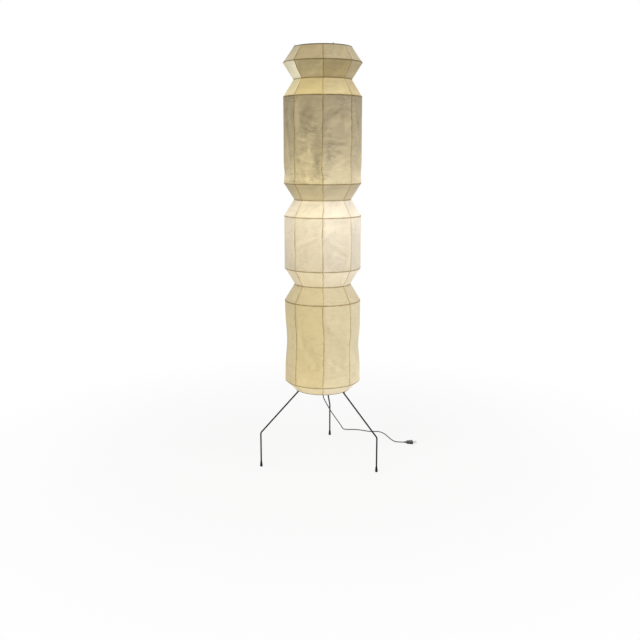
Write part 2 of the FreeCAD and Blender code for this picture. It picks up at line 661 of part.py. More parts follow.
# Inner lead: from the lampholder down the post, through the hub and into the switch cup.
lead_axis = Vector(math.cos(math.radians(value("bulb_turn"))),
                   math.sin(math.radians(value("bulb_turn"))), 0)
upright = Vector(0, 0, 1)
lead_top = value("plate_top")
lead_turn_level = value("bracket_level") - value("nipple_below") - value("lead_drop")
lead = tube_along("lead", [
    lead_axis * value("bulb_off") + upright * lead_top,
    lead_axis * value("bulb_off") + upright * lead_turn_level,
    lead_axis * value("lead_off") + upright * (lead_turn_level - value("lead_sway")),
    lead_axis * value("lead_off") + upright * (value("hub_low") - value("spigot_tall")
                                         - value("lead_in_cup")),
], value("lead_thick") / 2)
node(lead, "inner_lead")

# Clips: double eyes that hold the lead to the post.
place("clip_top", "bracket_level - nipple_below - lead_drop - lead_sway - clip_first")
place("clip_step", "(clip_top - hub_top) / lead_clip_count")
clips = []
for number in range(int(value("lead_clip_count"))):
    low = f"clip_top - {number} * clip_step"
    blank = joined(f"clip_blank_{number}", [
        cylinder(f"clip_post_eye_{number}", "post_thick / 2 + clip_wall", "clip_tall",
                 spot(level=low)),
        cylinder(f"clip_lead_eye_{number}", "lead_thick / 2 + clip_wall", "clip_tall",
                 spot("lead_off", level=low, turn="bulb_turn")),
        block(f"clip_web_{number}", "lead_off", "clip_web", "clip_tall",
              spot("0", "-clip_web / 2", low, "bulb_turn")),
    ])
    clips.append(cut(f"clip_{number}", blank, [
        cylinder(f"clip_post_hole_{number}", "post_thick / 2 + fit_gap", "clip_tall * 2",
                 spot(level=f"{low} - clip_tall / 2")),
        cylinder(f"clip_lead_hole_{number}", "lead_thick / 2 + fit_gap", "clip_tall * 2",
                 spot("lead_off", level=f"{low} - clip_tall / 2", turn="bulb_turn")),
    ]))
node(group("clip_group", clips), "lead_clips")

# Switch cup: a thin cup screwed onto the hub's spigot. The button and the cord leave its floor.
cup_blank = turned("cup_blank", (
    ("0", "cup_low"),
    ("hub_thick / 2", "cup_low"),
    ("hub_thick / 2", "hub_low"),
    ("cup_inner", "hub_low"),
    ("cup_inner", "cup_floor"),
    ("0", "cup_floor"),
))
cup_tools = [
    cylinder("cup_grip_hole", "grip_neck / 2 + fit_gap", "cup_wall * 4",
             spot("grip_off", level="cup_low - cup_wall", turn="grip_turn")),
    cylinder("cup_button_hole", "button_thick / 2 + slide_gap", "cup_wall * 4",
             spot("grip_off", level="cup_low - cup_wall", turn="button_turn")),
]
for number, turn in enumerate(CUP_SCREW_TURNS, 1):
    cup_tools.append(cylinder(f"cup_wall_hole_{number}", "cup_screw_thick / 2 + fit_gap",
                              "cup_screw_long",
                              spot("hub_thick / 2 - cup_screw_long / 2", level="cup_screw_level",
                                   turn=turn, lean="90")))
node(cut("cup_body", cup_blank, cup_tools), "switch_cup")
cup_screws = [cylinder(f"cup_screw_{number}", "cup_screw_thick / 2", "cup_screw_long",
                       spot("hub_thick / 2 - cup_screw_long + fit_gap", level="cup_screw_level",
                            turn=turn, lean="90"))
              for number, turn in enumerate(CUP_SCREW_TURNS, 1)]
node(group("cup_screw_group", cup_screws), "cup_screws")

# Switch: a closed module on the cup's floor, with the sprung push button that reaches out of it.
place("module_well", "cup_floor + button_flange_tall + button_travel + 2 * slide_gap")
module = turned("module_body", (
    ("button_flange / 2 + slide_gap", "cup_floor"),
    ("button_flange / 2 + slide_gap + module_wall", "cup_floor"),
    ("button_flange / 2 + slide_gap + module_wall", "module_well + module_roof"),
    ("0", "module_well + module_roof"),
    ("0", "module_well"),
    ("button_flange / 2 + slide_gap", "module_well"),
), spot("grip_off", turn="button_turn"))
node(module, "switch_module")
button = turned("button_body", (
    ("0", "cup_low - button_out"),
    ("button_thick / 2 - slide_gap * 2", "cup_low - button_out"),
    ("button_thick / 2", "cup_low - button_out + slide_gap * 2"),
    ("button_thick / 2", "cup_floor + slide_gap"),
    ("button_flange / 2", "cup_floor + slide_gap"),
    ("button_flange / 2", "cup_floor + slide_gap + button_flange_tall"),
    ("0", "cup_floor + slide_gap + button_flange_tall"),
), spot("grip_off", turn="button_turn"))
node(button, "switch_button")

# Cord grip: tapered rubber, held in the cup's floor by its flange.
place("grip_tip", "cup_low - grip_long")
grip = turned("grip_body", (
    ("0", "grip_tip"),
    ("grip_end / 2", "grip_tip"),
    ("grip_root / 2", "cup_low - grip_long / 5"),
    ("grip_root / 2", "cup_low"),
    ("grip_neck / 2", "cup_low"),
    ("grip_neck / 2", "cup_floor"),
    ("grip_flange / 2", "cup_floor"),
    ("grip_flange / 2", "cup_floor + grip_flange_tall"),
    ("0", "cup_floor + grip_flange_tall"),
), spot("grip_off", turn="grip_turn"))
node(grip, "cord_grip")

# Mains cord: down out of the grip, over to the floor behind, and along the floor to the plug.
grip_axis = math.radians(value("grip_turn"))
cord_exit = Vector(value("grip_off") * math.cos(grip_axis), value("grip_off") * math.sin(grip_axis),
                   value("grip_tip"))
cord_end = Vector(value("plug_x"), value("plug_y"), value("plug_level"))
floor_lie = value("cord_lie")
cord_route = [
    cord_exit,
    cord_exit - upright * value("cord_drop"),
    Vector(3, 31, 293),
    Vector(11, 64, 266),
    Vector(24, 112, 226),
    Vector(41, 165, 180),
    Vector(58, 219, 137),
    Vector(76, 272, 94),
    Vector(96, 326, 49),
    Vector(112, 382, floor_lie),
    Vector(165, 387, floor_lie),
    Vector(212, 374, floor_lie),
    Vector(252, 350, floor_lie),
    Vector(300, 357, floor_lie),
    Vector(328, 316, floor_lie),
    Vector(343, 264, floor_lie),
    Vector(355, 229, floor_lie),
    cord_end - Vector(value("cord_plug_run"), 0, 0),
    cord_end,
]
node(tube_along("cord", cord_route, value("cord_thick") / 2), "mains_cord")

# Plug: a flat moulded body with a tapered boot, and two round pins.
boot = turned("boot_body", (
    ("0", "0"),
    ("boot_end / 2", "0"),
    ("boot_root / 2", "boot_long"),
    ("0", "boot_long"),
), bound("placement(vector(plug_x; plug_y; plug_level); rotation(vector(0; 1; 0); 90))"))
plug_block = padded("plug_block", (
    ("plug_x + boot_long", "plug_y - plug_back_wide / 2"),
    ("plug_x + boot_long + plug_long", "plug_y - plug_front_wide / 2"),
    ("plug_x + boot_long + plug_long", "plug_y + plug_front_wide / 2"),
    ("plug_x + boot_long", "plug_y + plug_back_wide / 2"),
), "plug_tall", spot(level="plug_level - plug_tall / 2"))
doc.recompute()
plug_pad = plug_block.Tip
plug_round = plug_block.newObject("PartDesign::Fillet", "plug_round")
plug_round.Base = (plug_pad, [f"Edge{i}" for i in range(1, len(plug_pad.Shape.Edges) + 1)])
plug_round.setExpression("Radius", bound("plug_edge"))
place("pin_root", "plug_x + boot_long + plug_long")
node(joined("plug_form", [boot, plug_block]), "plug_body")
pins = [turned(f"pin_{side}", (
    ("0", "0"),
    ("pin_thick / 2", "0"),
    ("pin_thick / 2", "pin_long - pin_point"),
    ("pin_thick / 2 - pin_point", "pin_long"),
    ("0", "pin_long"),
), bound(f"placement(vector(pin_root; plug_y {sign} pin_span / 2; plug_level);"
         " rotation(vector(0; 1; 0); 90))")) for side, sign in (("near", "-"), ("far", "+"))]
node(group("pin_group", pins), "plug_pins")

# Hoops: soldered wire rings, five narrow and seven wide.
for number, kind in enumerate(HOOPS, 1):
    hoop = doc.addObject("Part::Torus", f"hoop_ring_{number:02d}")
    hoop.setExpression("Radius1", bound("hoop_" + kind))
    hoop.setExpression("Radius2", bound("hoop_wire / 2"))
    hoop.setExpression("Placement", spot(level=f"hoop_{number:02d}_level"))
    node(hoop, f"hoop_{number:02d}")


def rim(number, outward):
    """The reach and level of a corner that keeps a distance from the hoop's wire in both bands."""
    reach = value("hoop_" + HOOPS[number - 1])
    slopes = [(value("hoop_" + HOOPS[band - 1]) - value("hoop_" + HOOPS[band]))
              / value(f"band_{band:02d}_tall") for band in (number - 1, number) if band in BANDS]
    return (reach + outward * max(math.hypot(1, slope) for slope in slopes),
            value(f"hoop_{number:02d}_level"))


# Strings: one along each seam, outside the hoops and under the paper, from top to bottom.
gore_count = int(value("gores"))
gore_angle = 360 / gore_count
string_path = Part.makePolygon([Vector(*corner) for corner in (
    (reach, 0, level) for reach, level in (rim(number, value("string_out"))
                                           for number in range(1, len(HOOPS) + 1)))])
first_run = string_path.Edges[0]
string_section = Part.Wire(Part.Circle(first_run.Vertexes[0].Point, first_run.tangentAt(0),
                                       value("string_thick") / 2).toShape())
RIGHT_CORNERS = 1
one_string = string_path.makePipeShell([string_section], True, False, RIGHT_CORNERS)
strings = doc.addObject("Part::Feature", "string_set")
strings.Shape = Part.makeCompound([
    one_string.copy().rotate(Vector(), upright, value("seam_turn") + i * gore_angle)
    for i in range(gore_count)])
node(strings, "strings")

# Paper: each band is eight curved gores that meet at the strings. The crown band has a small notch
# round each arm's tip.
half_wall = value("paper_wall") / 2
for number in BANDS:
    (top_reach, top_level), (low_reach, low_level) = (
        rim(edge, value("paper_out")) for edge in (number, number + 1))
    corners = [Vector(top_reach - half_wall, 0, top_level), Vector(top_reach + half_wall, 0, top_level),
               Vector(low_reach + half_wall, 0, low_level), Vector(low_reach - half_wall, 0, low_level)]
    wall = Part.Face(Part.makePolygon(corners + corners[:1]))
    gore = wall.revolve(Vector(), upright, gore_angle)
    band = Part.makeCompound([gore.copy().rotate(Vector(), upright, value("seam_turn") + i * gore_angle)
                              for i in range(gore_count)])
    if number == 1:
        for i in range(int(value("spider_arm_count"))):
            notch = Part.makeCylinder(value("arm_wire") / 2 + value("notch_room"),
                                      value("arm_tip") * 2,
                                      Vector(value("hoop_narrow") + value("arm_bend"), 0,
                                             value("arm_level")))
            notch.rotate(Vector(), upright, value("spider_turn") + i * 360 / value("spider_arm_count"))
            band = band.cut(notch)
    paper = doc.addObject("Part::Feature", f"paper_{number:02d}")
    paper.Shape = band
    node(paper, f"paper_band_{number:02d}")

# Spider: four wire arms pressed into a turned boss. The top hoop lies on the arms, inside their
# upturned tips, and the boss sits loosely on the post's cap.
place("arm_root", "boss_thick / 2 - arm_seat")
place("arm_out", "hoop_narrow + arm_bend")
place("arm_high", "hoop_01_level + arm_tip")
arm_turns = [f"spider_turn + {i} * 360 / spider_arm_count"
             for i in range(int(value("spider_arm_count")))]
arms = [bent_bar(f"arm_{i}", (
    ("arm_root", "arm_level"),
    ("arm_out", "arm_level"),
    ("arm_out", "arm_high"),
), "arm_bend", "arm_wire / 2", spot(turn=turn)) for i, turn in enumerate(arm_turns, 1)]
node(group("arm_group", arms), "spider_arms")
boss_blank = turned("boss_blank", (
    ("post_thick / 2 + lift_gap", "boss_low"),
    ("boss_thick / 2", "boss_low"),
    ("boss_thick / 2", "arm_level + boss_above"),
    ("0", "arm_level + boss_above"),
    ("0", "boss_low + boss_deep"),
    ("post_thick / 2 + lift_gap", "boss_low + boss_deep"),
))
arm_holes = [cylinder(f"arm_hole_{i}", "arm_wire / 2 + fit_gap", "boss_thick",
                      spot("arm_root", level="arm_level", turn=turn, lean="90"))
             for i, turn in enumerate(arm_turns, 1)]
node(cut("boss_body", boss_blank, arm_holes), "spider_boss")

doc.recompute()
for thing in doc.Objects:
    if "Invalid" in thing.State or "Error" in thing.State:
        raise RuntimeError(f"{thing.Name} failed: {thing.State}")
for thing in labelled:
    if thing.Shape.isNull() or not thing.Shape.isValid() or not thing.Shape.Solids:
        raise RuntimeError(f"{thing.Label} has no valid solid")

os.makedirs("parts", exist_ok=True)
for thing in labelled:
    thing.Shape.exportStep(f"parts/{thing.Label}.step")
print(len(labelled), "parts written")
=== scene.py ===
import math

import bmesh
import bpy
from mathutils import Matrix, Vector, noise


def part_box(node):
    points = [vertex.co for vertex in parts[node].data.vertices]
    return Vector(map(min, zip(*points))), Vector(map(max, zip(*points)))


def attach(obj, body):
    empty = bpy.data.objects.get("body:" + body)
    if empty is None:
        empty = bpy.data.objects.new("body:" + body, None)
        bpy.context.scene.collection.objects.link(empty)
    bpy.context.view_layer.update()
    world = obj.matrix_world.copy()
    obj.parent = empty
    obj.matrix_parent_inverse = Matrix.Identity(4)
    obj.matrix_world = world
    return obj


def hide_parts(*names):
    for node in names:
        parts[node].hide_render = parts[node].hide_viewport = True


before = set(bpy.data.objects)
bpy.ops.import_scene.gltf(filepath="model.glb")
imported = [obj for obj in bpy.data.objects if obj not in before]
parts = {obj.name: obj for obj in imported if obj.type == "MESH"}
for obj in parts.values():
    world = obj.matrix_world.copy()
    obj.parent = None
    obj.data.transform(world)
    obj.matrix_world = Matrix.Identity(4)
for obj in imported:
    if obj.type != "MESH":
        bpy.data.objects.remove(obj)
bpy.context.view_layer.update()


# The camera stands a little over three and a half metres in front of the lamp, at the height of its
# upper drum, and looks slightly down through a lens of normal length.
def in_scene(name, data):
    """A new object in the scene, at the origin."""
    new = bpy.data.objects.new(name, data)
    bpy.context.scene.collection.objects.link(new)
    return new


eye = bpy.data.cameras.new("camera")
eye.sensor_width = 36.0
eye.lens = 45.06
looks_down = 11.77
camera = in_scene("camera", eye)
camera.location = (-0.0119, -3.669, 1.442)
camera.rotation_euler = (math.radians(90.0 - looks_down), 0.0, 0.0)
bpy.context.scene.camera = camera


# The mains cord: 5 mm round, in a flexible dark grey jacket, 0.96 m to its plug. It hangs out of the
# grip under the switch cup, drops past the back leg to the floor and wanders off behind the right leg.
def put(tree, kind, feeds=(), **settings):
    """A shader node. Each entry of feeds gives one input a value, or joins it to another's output."""
    new = tree.nodes.new("ShaderNode" + kind)
    for name, value in settings.items():
        setattr(new, name, value)
    for socket, feed in dict(feeds).items():
        if isinstance(feed, bpy.types.NodeSocket):
            tree.links.new(feed, new.inputs[socket])
        else:
            new.inputs[socket].default_value = feed
    return new


def maths(tree, operation, *terms, **settings):
    """The result of one sum on numbers."""
    return put(tree, "Math", dict(enumerate(terms)), operation=operation, **settings).outputs[0]


def ranged(tree, value, low, high, to_low=0.0, to_high=1.0, **settings):
    """A value moved from one range to another, and held inside it."""
    feeds = {"Value": value, "From Min": low, "From Max": high, "To Min": to_low, "To Max": to_high}
    return put(tree, "MapRange", feeds, **settings).outputs["Result"]


def mixed(tree, share, first, second):
    """Two colours mixed by a share."""
    return put(tree, "Mix", {0: share, 6: first, 7: second}, data_type="RGBA").outputs[2]


def mottle(tree, place, per_metre, detail, roughness=0.5, distortion=0.0):
    """Soft noise from about 0 to 1, in so many patches to the metre."""
    feeds = {"Vector": place, "Scale": per_metre, "Detail": detail, "Roughness": roughness,
             "Distortion": distortion}
    return put(tree, "TexNoise", feeds).outputs["Fac"]


def blank_group(name, inputs, outputs):
    """An empty shader node group with its sockets, and the nodes that stand for them."""
    group = bpy.data.node_groups.new(name, "ShaderNodeTree")
    for title, kind, value in inputs:
        socket = group.interface.new_socket(title, in_out="INPUT", socket_type="NodeSocket" + kind)
        socket.default_value = value
    for title, kind in outputs:
        group.interface.new_socket(title, in_out="OUTPUT", socket_type="NodeSocket" + kind)
    return group, group.nodes.new("NodeGroupInput").outputs, group.nodes.new("NodeGroupOutput").inputs


# Handled surface: a colour that drifts in soft patches, dust on what faces up, and a fine grain.
handled, given, result = blank_group(
    "handled_surface",
    [("Colour", "Color", (0.1, 0.1, 0.1, 1)), ("Patch Colour", "Color", (0.2, 0.2, 0.2, 1)),
     ("Patches Per Metre", "Float", 30.0), ("Dust Colour", "Color", (0.5, 0.48, 0.44, 1)),
     ("Dust", "Float", 0.2), ("Grains Per Metre", "Float", 2000.0),
     ("Smoothest", "Float", 0.3), ("Roughest", "Float", 0.6)],
    [("Colour", "Color"), ("Roughness", "Float"), ("Height", "Float")])
on_part = put(handled, "TexCoord").outputs["Object"]
patches = mottle(handled, on_part, given["Patches Per Metre"], 5.0, roughness=0.6)
grains = mottle(handled, on_part, given["Grains Per Metre"], 2.0)
patchy = ranged(handled, patches, 0.35, 0.7)
blended = mixed(handled, patchy, given["Colour"], given["Patch Colour"])
facing = put(handled, "SeparateXYZ", {0: put(handled, "NewGeometry").outputs["Normal"]})
upward = ranged(handled, facing.outputs["Z"], 0.2, 1.0)
settled = maths(handled, "MULTIPLY", upward, patches)
dusty = maths(handled, "MULTIPLY", settled, given["Dust"], use_clamp=True)
dusted = mixed(handled, dusty, blended, given["Dust Colour"])
uneven = maths(handled, "ADD", patchy, grains)
handled.links.new(dusted, result["Colour"])
handled.links.new(ranged(handled, uneven, 0.2, 1.6, given["Smoothest"], given["Roughest"]),
                  result["Roughness"])
handled.links.new(grains, result["Height"])


def blank_finish(name):
    """A new material, its node tree and its shader."""
    finish = bpy.data.materials.new(name)
    finish.use_nodes = True
    return finish, finish.node_tree, finish.node_tree.nodes["Principled BSDF"]


def handled_finish(name, colour, patch, patches, dust, grains, rough, relief, metallic=0.0, shine=0.5):
    """A material on the handled surface.

    It has so many patches and grains to the metre, rough is its smoothest and its roughest, and
    relief is the depth of its grain in metres.
    """
    finish, tree, shader = blank_finish(name)
    shader.inputs["Metallic"].default_value = metallic
    shader.inputs["Specular IOR Level"].default_value = shine
    smoothest, roughest = rough
    feeds = {"Colour": (*colour, 1), "Patch Colour": (*patch, 1), "Patches Per Metre": patches,
             "Dust": dust, "Grains Per Metre": grains, "Smoothest": smoothest, "Roughest": roughest}
    surface = put(tree, "Group", feeds, node_tree=handled)
    bump = put(tree, "Bump", {"Height": surface.outputs["Height"], "Distance": relief, "Strength": 0.8})
    tree.links.new(surface.outputs["Colour"], shader.inputs["Base Color"])
    tree.links.new(surface.outputs["Roughness"], shader.inputs["Roughness"])
    tree.links.new(bump.outputs["Normal"], shader.inputs["Normal"])
    return finish


def paint(finish, *names):
    """Gives these carried-over pieces a finish."""
    for name in names:
        for slot in parts[name].material_slots:
            slot.material = finish


cord_jacket = handled_finish("cord_jacket", (0.045, 0.045, 0.047), (0.070, 0.070, 0.072),
                             patches=45.0, dust=0.18, grains=2600.0, rough=(0.42, 0.62), relief=0.00008)
cord_thick = 0.005
cord_route = [
    (0.0045, 0.007794, 0.3691), (0.0045, 0.007794, 0.3311), (0.003, 0.031, 0.293),
    (0.011, 0.064, 0.266), (0.024, 0.112, 0.226), (0.041, 0.165, 0.180), (0.058, 0.219, 0.137),
    (0.076, 0.272, 0.094), (0.096, 0.326, 0.049), (0.112, 0.382, 0.0026), (0.165, 0.387, 0.0026),
    (0.212, 0.374, 0.0026), (0.252, 0.350, 0.0026), (0.300, 0.357, 0.0026), (0.328, 0.316, 0.0026),
    (0.343, 0.264, 0.0026), (0.355, 0.229, 0.0026), (0.373, 0.1826, 0.007), (0.413, 0.1826, 0.007),
]
cord_line = bpy.data.curves.new("mains_flex", "CURVE")
cord_line.dimensions = "3D"
cord_line.bevel_depth = cord_thick / 2
cord_line.bevel_resolution = 5
cord_line.resolution_u = 14
cord_run = cord_line.splines.new("NURBS")
cord_run.points.add(len(cord_route) - 1)
for point, place in zip(cord_run.points, cord_route):
    point.co = (*place, 1.0)
cord_run.order_u = 3
cord_run.use_endpoint_u = True
mains_flex = in_scene("mains_flex", cord_line)
cord_line.materials.append(cord_jacket)
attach(mains_flex, "stand")
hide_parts("mains_cord")


# The plug: two round plated pins in a flat black moulding. It is moulded on the cord's end, with a
# tapered boot that keeps the cord from kinking.
plug_plastic = handled_finish("plug_plastic", (0.030, 0.030, 0.032), (0.045, 0.045, 0.047),
                              patches=60.0, dust=0.2, grains=3200.0, rough=(0.35, 0.55), relief=0.00006)
pin_metal = handled_finish("pin_metal", (0.62, 0.60, 0.56), (0.52, 0.49, 0.44), patches=180.0, dust=0.05,
                           grains=6000.0, rough=(0.18, 0.38), relief=0.00002, metallic=1.0)
paint(plug_plastic, "plug_body")
paint(pin_metal, "plug_pins")


# The cord grip: a tapered sleeve of soft rubber. It sits in the underside of the switch cup and keeps
# the cord from pulling or chafing there.
cord_rubber = handled_finish("cord_rubber", (0.022, 0.022, 0.023), (0.035, 0.035, 0.036),
                             patches=90.0, dust=0.15, grains=2400.0, rough=(0.55, 0.8), relief=0.0001)
paint(cord_rubber, "cord_grip")


# The stand's iron: three legs of bent 7 mm bar held in a turned hub, small saddles brazed where the
# legs pass the bottom hoop, and a post of three tubes. All of it is sprayed satin black.
black_iron = handled_finish("black_iron", (0.006, 0.006, 0.007), (0.014, 0.013, 0.013),
                            patches=24.0, dust=0.03, grains=1500.0, rough=(0.40, 0.62), relief=0.00012,
                            shine=0.10)
paint(black_iron, "leg_back", "leg_left", "leg_right", "leg_saddles", "hub",
      "lower_post", "middle_post", "upper_post", "holder_bracket")


# The feet: tapered caps of black rubber, closed underneath. They are pushed over the ends of the legs
# and keep the iron off the floor.
foot_rubber = handled_finish("foot_rubber", (0.010, 0.010, 0.010), (0.018, 0.017, 0.017),
                             patches=120.0, dust=0.15, grains=2200.0, rough=(0.6, 0.85), relief=0.00015,
                             shine=0.2)
paint(foot_rubber, "foot_back", "foot_left", "foot_right")


# The fittings of plated steel: the legs' grub screws, the joiners between the post's tubes, the cap on
# the post, the bracket's clamp screw, the nipple's nut and the screws of the switch cup.
bright_steel = handled_finish("bright_steel", (0.56, 0.56, 0.57), (0.44, 0.43, 0.42),
                              patches=220.0, dust=0.05, grains=5000.0, rough=(0.2, 0.42),
                              relief=0.00003, metallic=1.0)
paint(bright_steel, "leg_screws", "lower_joiner", "middle_joiner", "post_cap", "bracket_screw",
      "nipple_nut", "cup_screws")


# The spider: four arms of dark wire pressed into a turned boss, which sits loosely on the post's cap.
# The top hoop lies on the arms, inside their upturned tips.
dark_wire = handled_finish("dark_wire", (0.035, 0.030, 0.024), (0.060, 0.048, 0.034),
                           patches=70.0, dust=0.3, grains=2600.0, rough=(0.35, 0.6), relief=0.00008)
paint(dark_wire, "spider_arms", "spider_boss")


# The switch under the hub: a moulded black cup, screwed on, with a push switch and its grey button in
# it. The shell of the lampholder is moulded of the same plastic.
black_plastic = handled_finish("black_plastic", (0.024, 0.024, 0.025), (0.034, 0.034, 0.035),
                               patches=50.0, dust=0.15, grains=3000.0, rough=(0.38, 0.55),
                               relief=0.00006)
button_cap = handled_finish("button_cap", (0.30, 0.30, 0.29), (0.36, 0.355, 0.34),
                            patches=160.0, dust=0.1, grains=3600.0, rough=(0.3, 0.5), relief=0.00004)
paint(black_plastic, "switch_cup", "switch_module", "holder_shell")
paint(button_cap, "switch_button")


# The lampholder: a glazed ceramic insert and a threaded brass sleeve in the black shell. A hollow
# brass nipple fixes it on the post's side bracket and lets the lead in.
brass = handled_finish("brass", (0.68, 0.48, 0.20), (0.50, 0.34, 0.13), patches=140.0, dust=0.05,
                       grains=5200.0, rough=(0.22, 0.45), relief=0.00003, metallic=1.0)
ceramic = handled_finish("ceramic", (0.82, 0.80, 0.75), (0.74, 0.71, 0.65), patches=80.0, dust=0.15,
                         grains=1800.0, rough=(0.12, 0.3), relief=0.00003)
paint(brass, "holder_nipple", "contact_sleeve")
paint(ceramic, "holder_insert")


# The bulb: a frosted glass globe on a rolled aluminium screw cap. It is screwed into the lampholder and
# lit, so the glass glows above a darker neck.
cap_metal = handled_finish("cap_metal", (0.70, 0.70, 0.69), (0.58, 0.57, 0.55), patches=260.0, dust=0.05,
                           grains=5600.0, rough=(0.22, 0.4), relief=0.00003, metallic=1.0)
paint(cap_metal, "bulb_cap")
neck_level = 1.056
globe_level = 1.085
bulb_glass, glass_tree, glass = blank_finish("bulb_glass")
glass.inputs["Roughness"].default_value = 0.35
glass.inputs["Emission Strength"].default_value = 0.85
glass.inputs["Base Color"].default_value = (0.22, 0.20, 0.16, 1)
on_glass = put(glass_tree, "TexCoord").outputs["Object"]
glass_height = put(glass_tree, "SeparateXYZ", {0: on_glass}).outputs["Z"]
glass_lit = ranged(glass_tree, glass_height, neck_level, globe_level)
glass_warm = mixed(glass_tree, glass_lit, (0.30, 0.20, 0.10, 1), (1.0, 0.86, 0.62, 1))
frost = mottle(glass_tree, on_glass, 2400.0, 2.0)
glass_bump = put(glass_tree, "Bump", {"Height": frost, "Distance": 0.00004})
glass_tree.links.new(glass_warm, glass.inputs["Emission Color"])
glass_tree.links.new(glass_bump.outputs["Normal"], glass.inputs["Normal"])
paint(bulb_glass, "bulb_glass")


# The inner lead runs down the post from the lampholder to the switch, in the same jacket as the mains
# cord. Three black clips hold it to the post.
clip_plastic = handled_finish("clip_plastic", (0.028, 0.028, 0.029), (0.04, 0.04, 0.04),
                              patches=90.0, dust=0.2, grains=3000.0, rough=(0.4, 0.6), relief=0.00006)
paint(cord_jacket, "inner_lead")
paint(clip_plastic, "lead_clips")


# The hoops: twelve rings of thin wire in a tan coating, five narrow and seven wide. The paper is
# pasted over them, so their shadows are painted on it as dark lines, and the wire is bare only from
# inside.
hoop_wire = handled_finish("hoop_wire", (0.30, 0.24, 0.14), (0.20, 0.15, 0.085),
                           patches=60.0, dust=0.2, grains=2800.0, rough=(0.45, 0.7), relief=0.0001)
paint(hoop_wire, *(f"hoop_{number:02d}" for number in range(1, 13)))


# The paper: eleven bands of crumpled handmade paper, each pasted from eight gores over the hoops and
# strings. It sags in between them and is dented where it is slack. Its glow from the bulb inside and its
# shade from the room's lamps are painted on it.
band_makes = [  # sag, depth of crumples, wrinkles, painted glow and shade at top, middle and bottom, hue of body and glow
    (0.0012, 0.0012, 0.25, (0.08, 0.08, 0.08), 0.3, 0.4),
    (0.0014, 0.0012, 0.25, (0.02, 0.02, 0.03), 0.9, 0.7),
    (0.0014, 0.0009, 0.25, (0.24, 0.25, 0.31), 0.5, 0.7),
    (0.0016, 0.0010, 1.00, (0.02, 0.10, 0.37), 0.0, 0.4),
    (0.0014, 0.0009, 0.25, (0.19, 0.20, 0.23), 0.0, 0.3),
    (0.0014, 0.0012, 0.25, (0.57, 0.59, 0.61), 0.0, -0.2),
    (0.0012, 0.0018, 0.25, (0.56, 0.43, 0.35), 0.0, -0.2),
    (0.0014, 0.0009, 0.25, (0.49, 0.47, 0.45), 0.1, 0.0),
    (0.0014, 0.0009, 0.25, (0.33, 0.32, 0.33), 0.1, 0.3),
    (0.0020, 0.0012, 0.25, (0.33, 0.32, 0.40), 0.4, 0.35),
    (0.0010, 0.0007, 0.25, (0.46, 0.46, 0.46), 0.1, 0.1),
]
gore_makes = [  # painted light and shade on each of the eight gores, darkest on the left, and how yellow each is, from the front seam round
    (0.02, -0.12), (0.0, -0.25), (0.02, 0.1), (-0.03, -0.1), (0.03, 0.15), (0.0, 0.0), (-0.14, 0.0),
    (-0.03, 0.18),
]
paler_gores = {  # how much paler each gore is painted and how much more it glows, by the number of its band and its own from 0
    (1, 6): 0.30, (2, 6): 1.0, (3, 6): 0.35, (1, 1): 0.15, (2, 1): 0.15, (2, 7): 0.12,
    (10, 0): 0.05, (10, 1): 0.13,
}
long_folds = [  # from azimuth and level to azimuth and level, height of the fold and its half width
    (228.0, 1.640, 266.0, 1.380, 0.0085, 0.065), (228.0, 1.450, 249.0, 1.322, -0.0036, 0.012),
    (230.0, 1.610, 268.0, 1.560, -0.0018, 0.014), (229.0, 1.500, 246.0, 1.490, 0.0016, 0.010),
    (252.0, 1.462, 268.0, 1.338, 0.0030, 0.013), (228.0, 1.425, 250.0, 1.400, 0.0014, 0.010),
    (273.0, 1.570, 291.0, 1.606, -0.0026, 0.034), (291.0, 1.606, 309.0, 1.558, -0.0026, 0.034),
    (275.0, 1.497, 309.0, 1.486, 0.0010, 0.012), (281.0, 1.474, 309.0, 1.470, -0.0011, 0.011),
    (273.0, 1.456, 299.0, 1.446, 0.0010, 0.011), (284.0, 1.440, 304.0, 1.395, 0.0016, 0.016),
    (318.0, 1.640, 338.0, 1.480, 0.0030, 0.026), (196.0, 1.620, 216.0, 1.430, 0.0030, 0.026),
    (232.0, 1.040, 262.0, 1.075, 0.0022, 0.016), (262.0, 1.085, 294.0, 1.040, -0.0024, 0.018),
    (280.0, 1.030, 306.0, 0.990, 0.0020, 0.016), (229.0, 0.640, 262.0, 0.500, 0.0022, 0.030),
    (276.0, 0.700, 300.0, 0.600, -0.0010, 0.030), (282.0, 0.520, 306.0, 0.470, 0.0018, 0.018),
    (20.0, 1.620, 42.0, 1.400, 0.0050, 0.040), (95.0, 1.580, 130.0, 1.450, -0.0050, 0.040),
    (60.0, 0.700, 88.0, 0.520, 0.0036, 0.034), (142.0, 0.560, 176.0, 0.660, -0.0036, 0.030),
]
fold_overrun = 0.2
dents = [  # azimuth and level of a slack place, its width in degrees, its height and its depth
    (0.0, 0.562, 26.0, 0.060, 0.0070), (180.0, 0.590, 30.0, 0.090, 0.0086),
    (0.0, 1.350, 30.0, 0.028, 0.0026), (180.0, 1.352, 30.0, 0.030, 0.0034),
    (78.0, 0.640, 20.0, 0.050, 0.0060), (118.0, 0.500, 18.0, 0.045, 0.0055),
    (62.0, 1.560, 18.0, 0.060, 0.0040), (314.0, 0.540, 14.0, 0.070, 0.0040),
    (246.0, 1.530, 13.0, 0.070, 0.0040), (290.0, 1.420, 14.0, 0.045, 0.0030),
]
seam_turn = 270.0
gore_turn = 45.0
half_turn = gore_turn / 2
seam_stray = 3.2
paper_radius = 0.1745
crumple_radius = 0.178
paper_stand_off = 0.003
paper_thick = 0.0004
seam_ridge = 0.0004
string_depth = 0.0009
row_gap = 0.005
rim_steps = [0.0, 0.0014, 0.0032]
rim_room = 0.006

